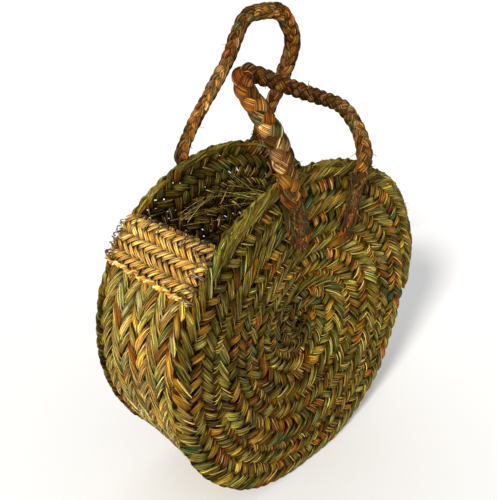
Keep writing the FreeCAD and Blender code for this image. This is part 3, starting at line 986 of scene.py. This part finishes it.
def ring_cord(y, name):
    """Twisted cord whipped along the inside edge of the side wall."""
    heap = Tubes()
    a = np.radians(np.linspace(FLAP_IN_DEG + 1.0, 359.0 - FLAP_IN_DEG, 500))
    out = np.stack([np.sin(a), 0 * a, np.cos(a)], 1)
    sag = side_dent(90 - np.degrees(a), np.full_like(a, y)) * 0.9
    points = out * (SIDE_CORD_R - sag)[:, None]
    points[:, 1] = y
    points[:, 2] = rest_on_floor(points[:, 2] + AXIS_Z, 8.6)
    twisted(heap, points, out, CORD_R * 1.15, (CORD_BROWN, ROPE_TAN), lay=5.0, slack=0.25, step=1.0)
    heap.build(name, mat_cord, "sewing_cord", [name])


ring_cord(0.0, "side_seam_cord")
ring_cord(-EDGE_CORD_Y, "front_edge_cord")
ring_cord(EDGE_CORD_Y, "back_edge_cord")


# ---- twine ties, tail stitches and frayed fibre ----
BAND_OUT_R = 196.0
LASHINGS, LASHING_GAP = 6, 20.0
WINDINGS, WINDING_STEP_DEG = 9, 1.65    # at each corner of the mouth
CORNER_TUFTS = 26


def from_axis(hand, deg):
    """Unit vector out from the basket's axis, at an angle from the top."""
    return np.array([hand * math.sin(math.radians(deg)), 0, math.cos(math.radians(deg))])


def on_band(hand, deg, y, lift):
    """A point on the folded binding's outer face, 'lift' proud of it."""
    return from_axis(hand, deg) * (BAND_OUT_R + lift) + [0, y, AXIS_Z]


def mouth_ties(hand, label):
    """Grey twine: lashings over the fold, and rough windings that tie the band to the panels."""
    heap = Tubes()
    tones = (TWINE_GREY, TWINE_GREY * 0.75, TWINE_BROWN * 1.2)
    for k in range(LASHINGS):
        y = LASHING_GAP * (k - (LASHINGS - 1) / 2) + rng.normal(0, 1.5)
        for turn in range(2):
            v = np.linspace(FLAP_OUT_V - rng.uniform(6, 10), FLAP_OUT_V + rng.uniform(12, 20), 14)
            point, normal, _ = fold_line(v, hand)
            point[:, 1] = y + turn * 1.5 + np.linspace(0, rng.normal(0, 3.5), 14)
            point += normal * (2.9 - 1.6 * np.abs(np.linspace(-1, 1, 14)) ** 3)[:, None]
            twisted(heap, point, normal, CORD_R * 0.85, tones, slack=0.3)
        point, normal, _ = fold_line(np.array([FLAP_OUT_V - 4.0]), hand)
        for _ in range(5):
            way = normal[0] * rng.uniform(-0.1, 0.35) + rng.normal(0, (0.5, 0.8, 0.4))
            loose(heap, point[0] + [0, y, 0] + normal[0] * 2.2, way, rng.uniform(3, 8), (0, 0, -1.5), 0.35,
                  TWINE_GREY * rng.uniform(0.7, 1.3), normal[0])
    for side in (-1, 1):
        for k in range(WINDINGS):
            deg = 46.6 + WINDING_STEP_DEG * k + rng.normal(0, 0.35)
            drift = rng.normal(0, 1.3)
            points = []
            for v in np.linspace(0, 1, 12):
                y = side * (58.5 + 14.5 * v + rng.normal(0, 0.25))
                lift = 2.2 + 1.3 * math.sin(math.pi * v) - 5.5 * max(0.0, v - 0.78) / 0.22
                points.append(on_band(hand, deg + drift * v, y, lift))
            twisted(heap, points, from_axis(hand, deg), CORD_R * rng.uniform(0.75, 1.05), tones, slack=0.35)
        for _ in range(CORNER_TUFTS):
            deg = rng.uniform(45.5, 61.5)
            out = from_axis(hand, deg)
            start = on_band(hand, deg, side * rng.uniform(60, 72), 1.6)
            way = out * rng.uniform(0.0, 0.45) + rng.normal(0, 0.6, 3)
            loose(heap, start, way, rng.uniform(2.5, 7), (0, 0, -2), 0.38,
                  TWINE_GREY * rng.uniform(0.5, 1.3), out)
    heap.build(f"mouth_ties_{label}", mat_twine, "twine", [f"mouth_ties_{label}"])


mouth_ties(1, "right")
mouth_ties(-1, "left")


TAIL_WARMTH = np.array((1.1, 1.05, 0.5))
TAIL_STITCHES = 5
TAIL_FIBRES = 230
TAIL_SHADOWS = 44
TAIL_DEPTH = 3.2        # the fibre lies at least this far out from the panel


def tail_wrap(name, side, tail):
    """Slanting stitches over a tail, and the frayed fibre that spreads from it over the panel."""
    (x1, up1), (x2, up2), r1, r2 = tail
    heap, fray = Tubes(), Tubes()
    run = math.hypot(x2 - x1, up2 - up1)
    along = np.array([x2 - x1, up2 - up1]) / run
    cross = np.array([-along[1], along[0]])
    facing = (0, side, 0)

    def spot(t, off, lift):
        x, up = np.array([x1, up1]) + along * run * t + cross * off
        r = r1 + (r2 - r1) * min(max(t, 0.0), 1.0)
        core = math.sqrt(max(r * r - off * off, 0.0)) if t < 1.05 else 0.0
        return on_panel(side, x, up, max(core, TAIL_DEPTH) + lift)

    def fibre(points, width, flat, tone):
        fray.add(np.array(points), facing, width, width * flat, STRAY_LOOP, tone)

    for k in range(TAIL_STITCHES):
        t = (k + 0.6) / TAIL_STITCHES
        reach = r1 + (r2 - r1) * t + 2.4
        for turn in range(2):
            slant = rng.normal(0.05, 0.035)
            points = [spot(t + slant * a + 0.02 * turn, a * reach, 0.6 - 3.6 * max(0, abs(a) - 0.86) / 0.14)
                      for a in np.linspace(-1, 1, 15)]
            twisted(heap, points, facing, CORD_R, (CORD_BROWN, ROPE_BROWN, TEAL * 1.3), slack=0.3)
    v = np.linspace(0, 1, 8)
    for _ in range(TAIL_FIBRES):
        t0 = rng.uniform(-0.14, 1.02)
        off = rng.normal(0, 4.8)
        length = rng.uniform(8, 20)
        way = rng.normal(0, 0.34)
        curl = rng.normal(0, 3.0)
        proud = rng.uniform(-0.2, 1.4)
        points = [spot(t0 + a * length / run * math.cos(way),
                       off + a * length * math.sin(way) + curl * a * a,
                       proud * math.sin(math.pi * a) - 1.4 * a) for a in v]
        width = rng.uniform(0.7, 1.6) ** 2 * (1 - 0.6 * v)
        tone = pick((ROPE_RUST, ROPE_BROWN, RUST, ROPE_OCHRE), (2.2, 1.6, 2.0, 1.6))
        tone = tone * rng.uniform(0.4, 1.2) * (0.6 + 1.4 * smooth(t0 / 0.9)) * TAIL_WARMTH
        fibre(points, width, 0.5, tone)
    # dark teal, moss and brown blades at both sides of the tail, drawn very dark as a painted shadow
    for _ in range(TAIL_SHADOWS):
        t0 = rng.uniform(-0.05, 0.8)
        off = rng.choice([-1, 1]) * (r1 * 0.75 + rng.uniform(0.0, 5.0))
        length = rng.uniform(14, 26)
        way = rng.normal(0, 0.2)
        points = [spot(t0 + a * length / run, off * (1 - 0.25 * a) + a * length * way, 0.9) for a in v]
        width = rng.uniform(1.2, 2.4) * (1 - 0.7 * np.abs(2 * v - 1) ** 2)
        fibre(points, width, 0.35, pick((TEAL, MOSS, ROPE_BROWN), (2.0, 1.0, 1.0)) * 0.3)
    heap.build(name, mat_cord, "sewing_cord", [name])
    fray.build(name.replace("stitches", "fibres"), mat_rope, "handle_rope")


tail_wrap("front_tail_stitches_left", -1, ((-52.0, 170.5), (-28.0, 118.0), 9.0, 4.5))
tail_wrap("front_tail_stitches_right", -1, ((53.5, 171.0), (46.0, 106.0), 8.8, 4.0))
tail_wrap("back_tail_stitches_left", 1, ((-53.0, 171.0), (-43.0, 108.0), 8.3, 4.0))
tail_wrap("back_tail_stitches_right", 1, ((53.0, 171.0), (43.0, 108.0), 8.3, 4.0))


# ---- cut blades that hang loose inside ----
def inner_blades(heap, count, centre, spread, way, swing, length, thick, tone):
    """A fan of blades that starts round a point and spreads one way."""
    for _ in range(count):
        start = np.array(centre) + rng.normal(0, 1, 3) * spread
        turn = np.array(way) + rng.normal(0, swing, 3)
        reach = rng.uniform(*length)
        bend = (rng.normal(0, 6), rng.normal(0, 4), -rng.uniform(2, 12))
        loose(heap, start, turn, reach, bend, rng.uniform(*thick), tone * rng.uniform(0.6, 1.6), count=12)


inside = Tubes()
# painted light: both fans are drawn far paler than the straw so that they stay bright in the shade inside
inner_blades(inside, 9, (-98.0, 28.0, 319.0), (4.0, 8.0, 4.0), (1.0, 0.25, 0.0), 0.16, (50.0, 105.0),
             (0.25, 0.4), DRY_BLADE * 2.6)
inner_blades(inside, 16, (26.0, 43.0, 311.0), (5.0, 4.0, 5.0), (-1.0, 0.3, 0.35), 0.28, (35.0, 80.0),
             (0.4, 0.7), SIDE_LIME + 0.5 * DRY_BLADE)
inside.build("inside_loose_blades", mat_side, "side_plait")

# ---- stage ----
FLOOR_SIZE, FLOOR_Z = 40.0, -0.0008     # metres
FLOOR_GREY = 0.93
SKY_LEVEL = 0.62
SKY_FADE = (0.10, 0.30)     # heights between which the pale horizon gives way to the sky
KEY_WAY = (0.85, 0.30, -0.50)
KEY_STRENGTH, KEY_SPREAD_DEG = 3.3, 9.0

bpy.ops.mesh.primitive_plane_add(size=FLOOR_SIZE, location=(0, 0, FLOOR_Z))
floor = bpy.context.object
floor.name = "floor"
paper, _, paper_shader = new_material("floor_paper")
paper_shader.inputs["Base Color"].default_value = (FLOOR_GREY, FLOOR_GREY, FLOOR_GREY, 1)
paper_shader.inputs["Roughness"].default_value = 0.9
floor.data.materials.append(paper)

world = bpy.data.worlds.new("studio")
bpy.context.scene.world = world
world.use_nodes = True
sky = world.node_tree
sky_way = node(sky, "ShaderNodeTexCoord", {})
sky_split = node(sky, "ShaderNodeSeparateXYZ", {0: sky_way.outputs["Generated"]})
sky_fade = node(sky, "ShaderNodeMapRange", {"Value": sky_split.outputs["Z"], "From Min": SKY_FADE[0],
                                            "From Max": SKY_FADE[1], "To Min": 1.0, "To Max": SKY_LEVEL})
sky.links.new(sky_fade.outputs["Result"], sky.nodes["Background"].inputs["Strength"])
sky.nodes["Background"].inputs["Color"].default_value = (1.0, 1.0, 1.0, 1)

lamp = bpy.data.lights.new("key", "SUN")
lamp.energy = KEY_STRENGTH
lamp.angle = math.radians(KEY_SPREAD_DEG)
lamp.color = (1.0, 0.97, 0.92)
add_object("key", lamp, Vector(KEY_WAY).to_track_quat("-Z", "Y"))

camera_data = bpy.data.cameras.new("camera")
camera_data.sensor_fit = "HORIZONTAL"
camera_data.sensor_width = 36.0
camera_data.lens = 38.57
camera_data.clip_start = 0.01
# the camera's own right, up and backward directions
basis = Matrix(((0.73003, -0.68318, -0.01792), (0.28000, 0.27508, 0.91975), (-0.62343, -0.67646, 0.39211)))
camera = add_object("camera", camera_data, basis.transposed().to_quaternion())
camera.location = (-0.4008, -0.3986, 0.5038)
bpy.context.scene.camera = camera
bpy.context.scene.view_settings.view_transform = "Standard"
